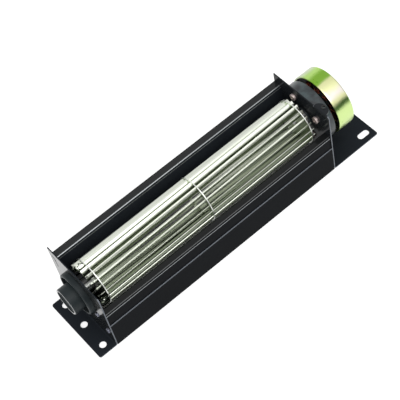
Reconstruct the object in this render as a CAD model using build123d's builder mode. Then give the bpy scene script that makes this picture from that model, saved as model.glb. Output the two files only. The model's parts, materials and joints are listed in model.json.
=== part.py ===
"""Cross flow fan: a long skewed-blade impeller in a folded steel housing, turned by an external-rotor motor.

Frame: +X runs along the fan axis towards the motor, +Y towards the back, +Z up. The origin lies on the
base plane, midway between the ends of the two mounting feet and midway between the front and the back.
Lengths are in millimetres.
"""

from build123d import *
import math
import os

# ---------------------------------------------------------------- driving dimensions

sheet = 1.0                     # housing sheet
bend = 1.5                      # inside radius of the folds
inner_length = 250.4            # between the inner faces of the end plates
depth = 71.0                    # front to back
height = 75.5                   # base to the top of the end plates
axis_height = 46.8              # base to the impeller's axis
left_foot = 18.0                # foot beyond the bearing-side plate
right_foot = 53.1               # foot beyond the motor-side plate
foot_corner = 2.0               # rounded corners of the feet
plate_corner = 3.4              # rounded top front corner of the end plates
foot_hole_radius = 3.25
foot_hole_pitch = 26.9          # along the depth
foot_hole_inset = 9.2           # from the bearing-side foot's end
slot_width = 6.4
slot_length = 12.2
slot_inset = 10.2               # slot centre from the motor-side foot's end
slot_pitch = 53.8               # between the front and the rear slot

flange_height = 65.5            # top of the rear flange
flange_width = 7.0              # rear edge to the start of the scroll
scroll_gap = 3.6                # impeller to scroll, level with the axis
scroll_end_gap = 1.0            # scroll's lower edge to the back of the plates
tongue_height = 46.6            # top of the tongue flange
tongue_width = 9.2
tongue_lip = 12.0               # depth of the lip beside the impeller
panel_height = 30.5             # lower front panel
panel_lap = 6.0                 # tongue wall behind the panel
ear_width = 9.0                 # welding ears at the ends of the front sheets
tab_width = 8.0                 # scroll tabs through the end plates
tab_clearance = 0.25
upper_tab_height = 59.5         # tab centres above the base
lower_tab_height = 14.0
rivet_radius = 1.6
rivet_head_radius = 2.4
rivet_head_height = 1.0
ear_rivet_insets = (16.6, 6.0)  # tongue rivets from the front edge, bearing side and motor side
rivet_gap = 1.0                 # tongue rivet heads to the bearing holder and to the motor body
panel_rivet_inset = 6.5
panel_rivet_height = 17.0

impeller_radius = 22.5
blade_count = 20
blade_inner_radius = 16.8
blade_exit_angle = 27.0         # outer edge against the tangent, degrees
blade_sheet = 0.5
blade_skew = 12.0               # twist over the whole length, degrees
blade_phase = 16.4              # turn of the whole blade ring, degrees
blade_steps = 12                # lengths in which the twist is drawn
rim = 0.7                      # ring left outside the blade slots
blade_clearance = 0.06          # blade in its slot
disc_sheet = 0.8
left_tip_gap = 6.5              # blade tips to the bearing-side plate
right_tip_gap = 5.9             # blade tips to the motor-side plate
left_disc_inset = 7.3           # end disc from the blade tips, bearing side
right_disc_inset = 3.5          # end disc from the blade tips, motor side
ring_bore_margin = 1.2          # middle ring's bore inside the blades

shaft_radius = 3.0
running_clearance = 0.04
seat = 0.03                     # clearance of pressed and located fits
stub_flange_radius = 9.0
stub_flange_height = 2.0
hub_radius = 8.0
hub_length = 6.5
grub_radius = 1.5

holder_radius = 20.6            # moulded bearing holder
holder_thickness = 5.1
holder_rim = 2.2
recess_depth = 3.2
boss_radius = 12.9
boss_length = 14.8              # plate to the end of the boss
boss_wall = 1.9
spigot_length = 1.0
cap_sink = 1.0
cap_thickness = 1.5
bush_length = 8.5
bush_wall = 4.0
bearing_length = 7.0
holder_screw_count = 3
holder_screw_radius = 1.25
holder_screw_head = 1.6

motor_inset = 5.6               # rotor can inside the front and back edges
body_step = 0.9                 # motor body inside the rotor can's outline
body_length = 11.1
body_flange = 5.0
can_gap = 3.7                   # motor body to the rotor can
can_length = 17.7
can_wall = 1.2
can_corner = 1.8
tube_radius = 8.0               # bearing tube inside the stator
pilot_radius = 9.5
pilot_length = 1.5
ball_bearing_radius = 6.5
ball_bearing_length = 5.0
stator_length = 8.0
tooth_count = 9
air_gap = 0.5
magnet_thickness = 3.5
coil_build = 1.3                # thickness of a coil around its tooth
motor_screw_circle = 20.5
motor_screw_count = 4
motor_screw_start = 30.0        # first screw above the front, degrees
motor_screw_radius = 2.0
motor_screw_head_radius = 3.4
motor_screw_head_height = 2.2
motor_screw_depth = 4.5
cross_recess_reach = 3.6        # end to end of the recess in a motor screw's head
cross_recess_width = 0.8
cross_recess_depth = 1.1

lead_tab_width = 15.5           # half-round tab that guides the motor leads
lead_tab_reach = 6.6
lead_tab_inset = 11.6           # tab centre from the front edge
lead_hole_reach = 4.0           # hole centre from the plate
lead_hole_radius = 1.8
grommet_wall = 0.5
grommet_lip = 0.5

# ---------------------------------------------------------------- stations along the fan

overall_length = left_foot + sheet + inner_length + sheet + right_foot
foot_end_left = -overall_length / 2
foot_end_right = overall_length / 2
left_outer = foot_end_left + left_foot
left_inner = left_outer + sheet
right_inner = left_inner + inner_length
right_outer = right_inner + sheet
front = -depth / 2
back = depth / 2
tip_left = left_inner + left_tip_gap
tip_right = right_inner - right_tip_gap
blade_length = tip_right - tip_left
disc_left = tip_left + left_disc_inset
disc_right = tip_right - right_disc_inset
disc_middle = (disc_left + disc_right) / 2
boss_end = left_outer - boss_length
body_end = right_outer + body_length
can_start = body_end + can_gap
can_end = can_start + can_length
mid_length = (left_inner + right_inner) / 2
motor_radius = depth / 2 - motor_inset
body_radius = motor_radius - body_step
stator_radius = motor_radius - can_wall - magnet_thickness - air_gap


def across(x):
    """Plane square to the fan axis at x, with its origin on the axis."""
    return Plane(origin=(x, 0, axis_height), x_dir=(0, 1, 0), z_dir=(1, 0, 0))


def polar(radius, degrees):
    """Point in an across plane; the angle runs from the front, over the top, to the back."""
    angle = math.radians(degrees)
    return (-radius * math.cos(angle), radius * math.sin(angle))


os.makedirs("parts", exist_ok=True)


def keep(builder, name):
    """Label a finished piece and write its STEP file."""
    builder.part.label = name
    export_step(builder.part, f"parts/{name}.step")


# ---------------------------------------------------------------- rear scroll

scroll_radius = impeller_radius + scroll_gap
flange_middle = flange_height - sheet / 2
scroll_top = (back - flange_width, flange_middle)
scroll_near = (scroll_radius + sheet / 2, axis_height)
scroll_low = (back - scroll_end_gap - sheet / 2, -sheet)
scroll_slope = (scroll_near[0] - scroll_top[0], scroll_near[1] - scroll_top[1])

with BuildSketch(Plane.YZ) as scroll_section:
    with BuildLine() as scroll_line:
        FilletPolyline((back, flange_middle), scroll_top, scroll_near, radius=bend + sheet / 2)
        TangentArc(scroll_near, scroll_low, tangent=scroll_slope)
    trace(line_width=sheet)
    Rectangle(2 * depth, 4 * sheet, align=(Align.CENTER, Align.MAX), mode=Mode.SUBTRACT)


def scroll_strip(height_middle, clearance=0.0):
    """The scroll's section over one tab's height, grown by a clearance, in local coordinates."""
    with BuildSketch(mode=Mode.PRIVATE) as strip:
        trace(scroll_line.edges(), line_width=sheet + 2 * clearance)
        with Locations((0, height_middle)):
            Rectangle(2 * depth, tab_width + 2 * clearance, mode=Mode.INTERSECT)
    return strip.sketch


tab_heights = (upper_tab_height, lower_tab_height)

with BuildPart() as rear_scroll:
    middle_plane = Plane.YZ.offset(mid_length)
    extrude(middle_plane * scroll_section.sketch_local, amount=inner_length / 2, both=True)
    for tab_height in tab_heights:
        extrude(middle_plane * scroll_strip(tab_height), amount=inner_length / 2 + sheet, both=True)
keep(rear_scroll, "rear_scroll")

# ---------------------------------------------------------------- front sheets

wall_middle = front + sheet * 1.5
tongue_middle = tongue_height - sheet / 2
lip_middle = front + tongue_width


def ear_rivet_place(inset, neighbour_radius):
    """Tongue rivet at its inset from the front, just clear of the round piece on the fan's axis."""
    reach = neighbour_radius + rivet_head_radius + rivet_gap
    return (front + inset, axis_height - math.sqrt(reach ** 2 - (front + inset) ** 2))


left_ear_rivet = ear_rivet_place(ear_rivet_insets[0], holder_radius)
right_ear_rivet = ear_rivet_place(ear_rivet_insets[1], body_radius)
panel_rivet = (front + panel_rivet_inset, panel_rivet_height)

with BuildPart() as front_tongue:
    with BuildSketch(Plane.YZ.offset(left_inner)):
        with BuildLine():
            FilletPolyline(
                (wall_middle, panel_height - panel_lap),
                (wall_middle, tongue_middle),
                (lip_middle, tongue_middle),
                (lip_middle, tongue_middle - tongue_lip),
                radius=bend + sheet / 2,
            )
        trace(line_width=sheet)
    extrude(amount=inner_length)
    ear_front = wall_middle + bend + sheet
    ear_back = lip_middle - bend - sheet / 2
    with BuildSketch(Plane.XZ.offset(-ear_front)):
        with BuildLine():
            FilletPolyline(
                (left_inner + sheet / 2, left_ear_rivet[1] - ear_width / 2),
                (left_inner + sheet / 2, tongue_middle),
                (right_inner - sheet / 2, tongue_middle),
                (right_inner - sheet / 2, right_ear_rivet[1] - ear_width / 2),
                radius=sheet,
            )
        trace(line_width=sheet)
    extrude(amount=-(ear_back - ear_front))
    for face_x, inward, rivet in ((left_inner, 1, left_ear_rivet), (right_inner, -1, right_ear_rivet)):
        ear_reach = rivet[0] + ear_width / 2
        with BuildSketch(Plane.YZ.offset(face_x)):
            with Locations(((ear_front + ear_reach) / 2, rivet[1])):
                RectangleRounded(ear_reach - ear_front, ear_width, 2.0)
        extrude(amount=inward * sheet)
        with BuildSketch(Plane.YZ.offset(face_x)):
            with Locations(rivet):
                Circle(rivet_radius + seat)
        extrude(amount=inward * sheet, mode=Mode.SUBTRACT)
keep(front_tongue, "front_tongue")

panel_middle = front + sheet / 2

with BuildPart() as front_lower_panel:
    with BuildSketch(Plane.XY.offset(panel_rivet_height - ear_width / 2)):
        with BuildLine():
            FilletPolyline(
                (left_inner + sheet / 2, front + panel_rivet_inset + ear_width / 2),
                (left_inner + sheet / 2, panel_middle),
                (right_inner - sheet / 2, panel_middle),
                (right_inner - sheet / 2, front + panel_rivet_inset + ear_width / 2),
                radius=sheet,
            )
        trace(line_width=sheet)
    extrude(amount=ear_width)
    with BuildSketch(Plane.XZ.offset(-front)):
        with Locations((mid_length, panel_height / 2)):
            Rectangle(inner_length, panel_height)
    extrude(amount=-sheet)
    for face_x, inward in ((left_inner, 1), (right_inner, -1)):
        with BuildSketch(Plane.YZ.offset(face_x)):
            with Locations(panel_rivet):
                Circle(rivet_radius + seat)
        extrude(amount=inward * sheet, mode=Mode.SUBTRACT)
keep(front_lower_panel, "front_lower_panel")

# ---------------------------------------------------------------- end plates


def folded_plate(outer_x, foot_end, ear_rivet):
    """L-shaped end plate: an upright wall and a foot turned outwards at the base."""
    outward = 1 if foot_end > outer_x else -1
    with BuildPart(mode=Mode.PRIVATE) as plate:
        with BuildSketch(Plane.XZ):
            with BuildLine():
                FilletPolyline(
                    (foot_end, sheet / 2),
                    (outer_x - outward * sheet / 2, sheet / 2),
                    (outer_x - outward * sheet / 2, height),
                    radius=bend + sheet / 2,
                )
            trace(line_width=sheet)
        extrude(amount=depth / 2, both=True)
        foot_corners = plate.edges().filter_by(Axis.Z).group_by(Axis.X)
        fillet(foot_corners[-1] if outward > 0 else foot_corners[0], radius=foot_corner)
        top_edges = plate.edges().filter_by(Axis.X).group_by(Axis.Z)[-1]
        fillet(top_edges.sort_by(Axis.Y)[0], radius=plate_corner)
        with BuildSketch(Plane.YZ.offset(outer_x)):
            with Locations(ear_rivet, panel_rivet):
                Circle(rivet_radius + seat)
        extrude(amount=-outward * sheet, mode=Mode.SUBTRACT)
        for tab_height in tab_heights:
            slot = Plane.YZ.offset(outer_x) * scroll_strip(tab_height, tab_clearance)
            extrude(slot, amount=-outward * sheet, mode=Mode.SUBTRACT)
    return plate.part


spigot_radius = boss_radius - boss_wall
holder_screw_circle = (boss_radius + holder_radius - holder_rim) / 2
holder_screw_places = [polar(holder_screw_circle, 90 + 360 / holder_screw_count * k)
                       for k in range(holder_screw_count)]
motor_screw_places = [polar(motor_screw_circle, motor_screw_start + 360 / motor_screw_count * k)
                      for k in range(motor_screw_count)]

with BuildPart() as left_end_plate:
    add(folded_plate(left_outer, foot_end_left, left_ear_rivet))
    with BuildSketch(across(left_outer)):
        Circle(spigot_radius + seat)
        with Locations(*holder_screw_places):
            Circle(holder_screw_radius + seat)
    extrude(amount=sheet, mode=Mode.SUBTRACT)
    with Locations((foot_end_left + foot_hole_inset, 0, sheet)):
        with GridLocations(1, foot_hole_pitch, 1, 3):
            Hole(radius=foot_hole_radius, depth=sheet)
keep(left_end_plate, "left_end_plate")

lead_tab_middle = front + lead_tab_inset

with BuildPart(mode=Mode.PRIVATE) as lead_tab:
    with BuildSketch(Plane.XZ.offset(-lead_tab_middle)):
        with BuildLine():
            FilletPolyline(
                (right_inner + sheet / 2, height - 3 * sheet - bend),
                (right_inner + sheet / 2, height - sheet / 2),
                (right_outer + lead_tab_reach, height - sheet / 2),
                radius=bend + sheet / 2,
            )
        trace(line_width=sheet)
    extrude(amount=lead_tab_width / 2, both=True)
    with BuildSketch(Plane.XY):
        with Locations((right_outer, lead_tab_middle)):
            Ellipse(lead_tab_reach, lead_tab_width / 2)
            Rectangle(2 * bend + sheet, lead_tab_width, align=(Align.MAX, Align.CENTER))
    extrude(amount=height, mode=Mode.INTERSECT)

lead_hole_x = right_outer + lead_hole_reach

with BuildPart() as right_end_plate:
    add(folded_plate(right_outer, foot_end_right, right_ear_rivet))
    with Locations((right_inner, lead_tab_middle, height)):
        Box(sheet, lead_tab_width, bend + sheet, align=(Align.MIN, Align.CENTER, Align.MAX),
            mode=Mode.SUBTRACT)
    add(lead_tab.part)
    with Locations((lead_hole_x, lead_tab_middle, height)):
        Hole(radius=lead_hole_radius, depth=sheet)
    with BuildSketch(across(right_inner)):
        Circle(pilot_radius + seat)
        with Locations(*motor_screw_places):
            Circle(motor_screw_radius + seat)
    extrude(amount=sheet, mode=Mode.SUBTRACT)
    with BuildSketch(Plane.XY):
        with Locations((foot_end_right - slot_inset, 0)):
            with GridLocations(1, slot_pitch, 1, 2):
                SlotOverall(slot_length, slot_width)
    extrude(amount=sheet, mode=Mode.SUBTRACT)
keep(right_end_plate, "right_end_plate")

# Blind rivets through the end plates and the ears of the front sheets.
with BuildPart() as plate_rivets:
    for outer_x, outward, ear_rivet in ((left_outer, -1, left_ear_rivet), (right_outer, 1, right_ear_rivet)):
        for place in (ear_rivet, panel_rivet):
            with BuildSketch(Plane.YZ.offset(outer_x)):
                with Locations(place):
                    Circle(rivet_head_radius)
            extrude(amount=outward * rivet_head_height, taper=20)
            with BuildSketch(Plane.YZ.offset(outer_x)):
                with Locations(place):
                    Circle(rivet_radius)
            extrude(amount=-outward * 2 * sheet)
            with BuildSketch(Plane.YZ.offset(outer_x - outward * 2 * sheet)):
                with Locations(place):
                    Circle(rivet_head_radius - 0.3)
            extrude(amount=-outward * rivet_head_height, taper=15)
keep(plate_rivets, "plate_rivets")

with BuildPart() as lead_grommet:
    lip_radius = lead_hole_radius + grommet_lip
    lower_lip = height - sheet - grommet_lip
    for bottom, radius, tall in ((lower_lip, lip_radius, grommet_lip),
                                 (height - sheet, lead_hole_radius - seat, sheet),
                                 (height, lip_radius, grommet_lip)):
        with BuildSketch(Plane.XY.offset(bottom)):
            with Locations((lead_hole_x, lead_tab_middle)):
                Circle(radius)
                Circle(lead_hole_radius - grommet_wall, mode=Mode.SUBTRACT)
        extrude(amount=tall)
keep(lead_grommet, "lead_grommet")

# ---------------------------------------------------------------- bearing holder

recess_inner = boss_radius
recess_outer = holder_radius - holder_rim
cap_radius = spigot_radius
bush_radius = spigot_radius - seat
bearing_radius = bush_radius - bush_wall
bush_end = boss_end + cap_sink + cap_thickness + 1.0
bush_start = bush_end + bush_length
bearing_middle = (bush_start + bush_end) / 2

with BuildPart() as bearing_holder:
    with BuildSketch(Plane.XZ):
        with BuildLine():
            Polyline(
                (left_inner, axis_height + spigot_radius),
                (left_outer, axis_height + spigot_radius),
                (left_outer, axis_height + holder_radius),
                (left_outer - holder_thickness, axis_height + holder_radius),
                (left_outer - holder_thickness, axis_height + recess_outer),
                (left_outer - holder_thickness + recess_depth, axis_height + recess_outer),
                (left_outer - holder_thickness + recess_depth, axis_height + recess_inner),
                (boss_end, axis_height + recess_inner),
                (boss_end, axis_height + cap_radius),
                (bush_end, axis_height + cap_radius),
                (bush_start, axis_height + cap_radius),
                (bush_start, axis_height + bearing_radius + bush_wall / 2),
                (left_inner, axis_height + bearing_radius + bush_wall / 2),
                close=True,
            )
        make_face()
    revolve(axis=Axis((0, 0, axis_height), (1, 0, 0)))
    rims = bearing_holder.edges().filter_by(GeomType.CIRCLE)
    fillet(rims.filter_by(lambda e: abs(e.radius - holder_radius) < 0.01).sort_by(Axis.X)[0], radius=1.2)
    chamfer(rims.filter_by(lambda e: abs(e.radius - boss_radius) < 0.01).sort_by(Axis.X)[0], length=0.5)
    with BuildSketch(across(left_outer)):
        with Locations(*holder_screw_places):
            Circle(holder_screw_radius + seat)
    extrude(amount=-holder_thickness, mode=Mode.SUBTRACT)
keep(bearing_holder, "bearing_holder")

with BuildPart() as bearing_cap:
    with BuildSketch(across(boss_end + cap_sink)):
        Circle(cap_radius - seat)
    extrude(amount=cap_thickness)
    with BuildSketch(across(boss_end + cap_sink)):
        Circle(cap_radius - 2.2)
    extrude(amount=0.6, mode=Mode.SUBTRACT)
keep(bearing_cap, "bearing_cap")

with BuildPart() as holder_screws:
    for place in holder_screw_places:
        with BuildSketch(across(left_outer - holder_thickness + recess_depth)):
            with Locations(place):
                Circle(holder_screw_head)
        extrude(amount=-1.4, taper=10)
        with BuildSketch(across(left_outer - holder_thickness + recess_depth)):
            with Locations(place):
                Circle(holder_screw_radius)
        extrude(amount=holder_thickness - recess_depth + sheet + 1.2)
keep(holder_screws, "holder_screws")

with BuildPart() as rubber_bush:
    with BuildSketch(across(bush_end)):
        Circle(bush_radius)
        Circle(bearing_radius, mode=Mode.SUBTRACT)
    extrude(amount=bush_length)
    lips = rubber_bush.edges().filter_by(GeomType.CIRCLE)
    chamfer(lips.filter_by(lambda e: e.radius < bearing_radius + 0.1), length=0.6)
keep(rubber_bush, "rubber_bush")

with BuildPart() as sleeve_bearing:
    with BuildSketch(across(bearing_middle - bearing_length / 2)):
        Circle(bearing_radius - seat)
        Circle(shaft_radius + running_clearance, mode=Mode.SUBTRACT)
    extrude(amount=bearing_length)
    outer_rims = sleeve_bearing.edges().filter_by(GeomType.CIRCLE)
    chamfer(outer_rims.filter_by(lambda e: e.radius > shaft_radius + 1), length=0.8)
keep(sleeve_bearing, "sleeve_bearing")

# ---------------------------------------------------------------- motor, standing parts

tube_end = can_end - can_wall - 3.5
stator_middle = can_start + (can_length - can_wall) / 2 + 0.3

with BuildPart() as motor_body:
    with BuildSketch(across(right_outer)):
        Circle(body_radius)
    extrude(amount=body_length)
    outer_edges = motor_body.edges().filter_by(GeomType.CIRCLE).sort_by(Axis.X)
    fillet(outer_edges[-1], radius=1.0)
    with BuildSketch(across(body_end)):
        Circle(body_radius - 2.0)
        Circle(tube_radius, mode=Mode.SUBTRACT)
    extrude(amount=-(body_length - body_flange), mode=Mode.SUBTRACT)
    with BuildSketch(across(right_outer)):
        Circle(pilot_radius)
    extrude(amount=-pilot_length)
    with BuildSketch(across(body_end)):
        Circle(tube_radius)
    extrude(amount=tube_end - body_end)
    with BuildSketch(across(right_outer - pilot_length)):
        Circle(ball_bearing_radius - 1.5)
    extrude(amount=tube_end - right_outer + pilot_length, mode=Mode.SUBTRACT)
    for mouth, inward in ((right_outer - pilot_length, 1), (tube_end, -1)):
        with BuildSketch(across(mouth)):
            Circle(ball_bearing_radius + seat)
        extrude(amount=inward * (ball_bearing_length + 0.3), mode=Mode.SUBTRACT)
    with BuildSketch(across(right_outer)):
        with Locations(*motor_screw_places):
            Circle(motor_screw_radius + seat)
    extrude(amount=motor_screw_depth, mode=Mode.SUBTRACT)
keep(motor_body, "motor_body")


def ball_bearing(start):
    """Sealed ball bearing as one solid, with its shield sunk below the two rings."""
    with BuildPart(mode=Mode.PRIVATE) as bearing:
        with BuildSketch(across(start)):
            Circle(ball_bearing_radius)
            Circle(shaft_radius + running_clearance, mode=Mode.SUBTRACT)
        extrude(amount=ball_bearing_length)
        for side, inward in ((start, 1), (start + ball_bearing_length, -1)):
            with BuildSketch(across(side)):
                Circle(ball_bearing_radius - 0.8)
                Circle(shaft_radius + 0.9, mode=Mode.SUBTRACT)
            extrude(amount=inward * 0.3, mode=Mode.SUBTRACT)
    return bearing.part


with BuildPart() as motor_bearing_inner:
    add(ball_bearing(right_outer - pilot_length + 0.3))
keep(motor_bearing_inner, "motor_bearing_inner")

with BuildPart() as motor_bearing_outer:
    add(ball_bearing(tube_end - 0.3 - ball_bearing_length))
keep(motor_bearing_outer, "motor_bearing_outer")

tooth_width = 3.6
yoke_radius = tube_radius + 4.0
shoe_depth = 1.6
tooth_length = stator_radius - yoke_radius

with BuildPart() as stator_core:
    with BuildSketch(across(stator_middle - stator_length / 2)):
        Circle(yoke_radius)
        with PolarLocations(yoke_radius + (tooth_length - shoe_depth) / 2, tooth_count):
            Rectangle(tooth_length, tooth_width)
        with BuildSketch(mode=Mode.PRIVATE) as shoes:
            Circle(stator_radius)
            Circle(stator_radius - shoe_depth, mode=Mode.SUBTRACT)
            with PolarLocations(stator_radius, tooth_count, start_angle=180 / tooth_count):
                Rectangle(4 * shoe_depth, 2.4, mode=Mode.SUBTRACT)
        add(shoes.sketch)
        Circle(tube_radius + seat, mode=Mode.SUBTRACT)
    extrude(amount=stator_length)
keep(stator_core, "stator_core")

coil_span = tooth_length - shoe_depth - 1.4
coil_middle = yoke_radius + 0.8 + coil_span / 2

with BuildPart() as stator_windings:
    coil_plane = Plane(origin=(stator_middle, 0, axis_height), x_dir=(1, 0, 0), z_dir=(0, 1, 0))
    with BuildSketch(coil_plane.offset(coil_middle - coil_span / 2)):
        RectangleRounded(stator_length + 2 * coil_build + 0.4, tooth_width + 2 * coil_build + 0.2, 1.2)
        RectangleRounded(stator_length + 0.3, tooth_width + 0.1, 0.3, mode=Mode.SUBTRACT)
    extrude(amount=coil_span)
    first_coil = stator_windings.part
    for k in range(1, tooth_count):
        add(first_coil.rotate(Axis((0, 0, axis_height), (1, 0, 0)), 360 / tooth_count * k))
keep(stator_windings, "stator_windings")

with BuildPart() as motor_screws:
    for place in motor_screw_places:
        with BuildSketch(across(right_inner)):
            with Locations(place):
                Circle(motor_screw_head_radius)
        extrude(amount=-motor_screw_head_height, taper=12)
        with BuildSketch(across(right_inner)):
            with Locations(place):
                Circle(motor_screw_radius)
        extrude(amount=sheet + motor_screw_depth - 0.5)
        with BuildSketch(across(right_inner - motor_screw_head_height)):
            with Locations(place):
                Rectangle(cross_recess_reach, cross_recess_width)
                Rectangle(cross_recess_width, cross_recess_reach)
        extrude(amount=cross_recess_depth, mode=Mode.SUBTRACT)
keep(motor_screws, "motor_screws")

# ---------------------------------------------------------------- rotor: can, magnet, shaft

boss_bore = shaft_radius + seat

with BuildPart() as rotor_can:
    with BuildSketch(across(can_start)):
        Circle(motor_radius)
    extrude(amount=can_length)
    fillet(rotor_can.edges().filter_by(GeomType.CIRCLE).sort_by(Axis.X)[-1], radius=can_corner)
    with BuildSketch(across(can_start)):
        Circle(motor_radius - can_wall)
    extrude(amount=can_length - can_wall, mode=Mode.SUBTRACT)
    inner_edges = rotor_can.edges().filter_by(GeomType.CIRCLE)
    floor_edge = inner_edges.filter_by(lambda e: abs(e.radius - motor_radius + can_wall) < 0.01)
    fillet(floor_edge.sort_by(Axis.X)[-1], radius=can_corner - can_wall)
    with BuildSketch(across(can_end - can_wall)):
        Circle(tube_radius)
    extrude(amount=-(can_end - can_wall - tube_end - 0.5))
    with BuildSketch(across(can_end)):
        Circle(boss_bore)
    extrude(amount=-can_length, mode=Mode.SUBTRACT)
keep(rotor_can, "rotor_can")

magnet_radius = motor_radius - can_wall - seat
magnet_start = stator_middle - stator_length / 2 - 1.5

with BuildPart() as magnet_ring:
    with BuildSketch(across(magnet_start)):
        Circle(magnet_radius)
        Circle(stator_radius + air_gap, mode=Mode.SUBTRACT)
    extrude(amount=stator_length + 3.0)
keep(magnet_ring, "magnet_ring")

hub_end = disc_right + disc_sheet / 2 + hub_length
shaft_start = disc_right - disc_sheet / 2 - 1.5

with BuildPart() as motor_shaft:
    with BuildSketch(across(shaft_start)):
        Circle(shaft_radius)
    extrude(amount=can_end + 0.8 - shaft_start)
    chamfer(motor_shaft.edges().filter_by(GeomType.CIRCLE), length=0.4)
keep(motor_shaft, "motor_shaft")

# ---------------------------------------------------------------- impeller

exit_angle = math.radians(blade_exit_angle)
blade_outer_radius = impeller_radius - rim
blade_arc = (blade_outer_radius ** 2 - blade_inner_radius ** 2) / (
    2 * blade_outer_radius * math.cos(exit_angle))
arc_centre = (blade_inner_radius, -blade_arc)
centre_distance = math.hypot(*arc_centre)
centre_direction = math.atan2(arc_centre[1], arc_centre[0])
reach_cosine = (blade_outer_radius ** 2 - centre_distance ** 2 - blade_arc ** 2) / (
    2 * centre_distance * blade_arc)
arc_start = 90.0
arc_end = math.degrees(centre_direction + math.acos(reach_cosine))


def blade_section(station, turn=0.0, grow=0.0):
    """Blade section at a station from 0 (bearing side) to 1 (motor side), on a straight skewed strip."""
    half = math.radians(blade_skew / 2)
    blend_x = (1 - station) * math.cos(half) + station * math.cos(half)
    blend_y = (1 - station) * math.sin(half) - station * math.sin(half)
    scale = math.hypot(blend_x, blend_y)
    angle = math.degrees(math.atan2(blend_y, blend_x)) + turn + blade_phase
    spread = math.degrees(grow / blade_arc)
    first = arc_start + spread
    last = arc_end - spread
    inner = (blade_arc - blade_sheet / 2) * scale - grow
    outer = (blade_arc + blade_sheet / 2) * scale + grow
    centre = (arc_centre[0] * scale, arc_centre[1] * scale)
    with BuildSketch(Plane.XY, mode=Mode.PRIVATE) as section:
        with BuildLine():
            near_arc = CenterArc(centre, inner, first, last - first)
            far_arc = CenterArc(centre, outer, first, last - first)
            Line(near_arc @ 0, far_arc @ 0)
            Line(near_arc @ 1, far_arc @ 1)
        make_face()
    return section.sketch.rotate(Axis.Z, angle)


def placed(section, x):
    """Move a section drawn about the axis to its place along the fan."""
    return across(x) * section


blade_pitch = 360 / blade_count
for number in range(blade_count):
    turn = blade_pitch * number
    with BuildPart() as blade:
        loft([placed(blade_section(k / blade_steps, turn), tip_left + blade_length * k / blade_steps).face()
              for k in range(blade_steps + 1)], ruled=True)
    keep(blade, f"blade_{number + 1:02d}")


def slotted_disc(x):
    """Thin disc at x, pierced by one slot for each blade."""
    station = (x - tip_left) / blade_length
    with BuildPart(mode=Mode.PRIVATE) as disc:
        with BuildSketch(across(x - disc_sheet / 2)):
            Circle(impeller_radius)
            for number in range(blade_count):
                add(blade_section(station, blade_pitch * number, blade_clearance), mode=Mode.SUBTRACT)
        extrude(amount=disc_sheet)
    return disc.part


with BuildPart() as bearing_end_disc:
    add(slotted_disc(disc_left))
    with BuildSketch(across(disc_left - disc_sheet / 2)):
        Circle(shaft_radius + seat)
    extrude(amount=disc_sheet, mode=Mode.SUBTRACT)
keep(bearing_end_disc, "bearing_end_disc")

with BuildPart() as middle_ring:
    add(slotted_disc(disc_middle))
    with BuildSketch(across(disc_middle - disc_sheet / 2)):
        Circle(blade_inner_radius - ring_bore_margin)
    extrude(amount=disc_sheet, mode=Mode.SUBTRACT)
keep(middle_ring, "middle_ring")

with BuildPart() as motor_end_disc:
    add(slotted_disc(disc_right))
    with BuildSketch(across(disc_right - disc_sheet / 2)):
        Circle(shaft_radius + seat)
    extrude(amount=disc_sheet, mode=Mode.SUBTRACT)
keep(motor_end_disc, "motor_end_disc")

stub_end = bush_end - 0.4

with BuildPart() as stub_shaft:
    with BuildSketch(across(disc_left + disc_sheet / 2)):
        Circle(shaft_radius)
    extrude(amount=stub_end - disc_left - disc_sheet / 2)
    with BuildSketch(across(disc_left - disc_sheet / 2)):
        Circle(stub_flange_radius)
    extrude(amount=-stub_flange_height)
    chamfer(stub_shaft.edges().filter_by(GeomType.CIRCLE).sort_by(Axis.X)[0], length=0.4)
keep(stub_shaft, "stub_shaft")

with BuildPart() as impeller_hub:
    with BuildSketch(across(disc_right + disc_sheet / 2)):
        Circle(hub_radius)
        Circle(shaft_radius + seat, mode=Mode.SUBTRACT)
    extrude(amount=hub_length)
    chamfer(impeller_hub.edges().filter_by(GeomType.CIRCLE).group_by(Axis.X)[-1], length=0.5)
    grub_plane = Plane(origin=(hub_end - hub_length / 2, 0, axis_height), z_dir=(0, 0, 1))
    with BuildSketch(grub_plane):
        Circle(grub_radius + seat)
    extrude(amount=hub_radius + 1, mode=Mode.SUBTRACT)
keep(impeller_hub, "impeller_hub")

with BuildPart() as hub_grub_screw:
    with BuildSketch(grub_plane.offset(shaft_radius + 0.05)):
        Circle(grub_radius)
    extrude(amount=hub_radius - shaft_radius - 0.8)
    with BuildSketch(grub_plane.offset(hub_radius - 0.75)):
        RegularPolygon(0.8, 6)
    extrude(amount=-1.5, mode=Mode.SUBTRACT)
keep(hub_grub_screw, "hub_grub_screw")
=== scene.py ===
"""Looks of the cross flow fan: paint, bright blades, zinc-plated rotor can and a plain studio.

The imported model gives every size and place. Lengths are in metres and the fan's axis runs along X.
"""

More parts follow.
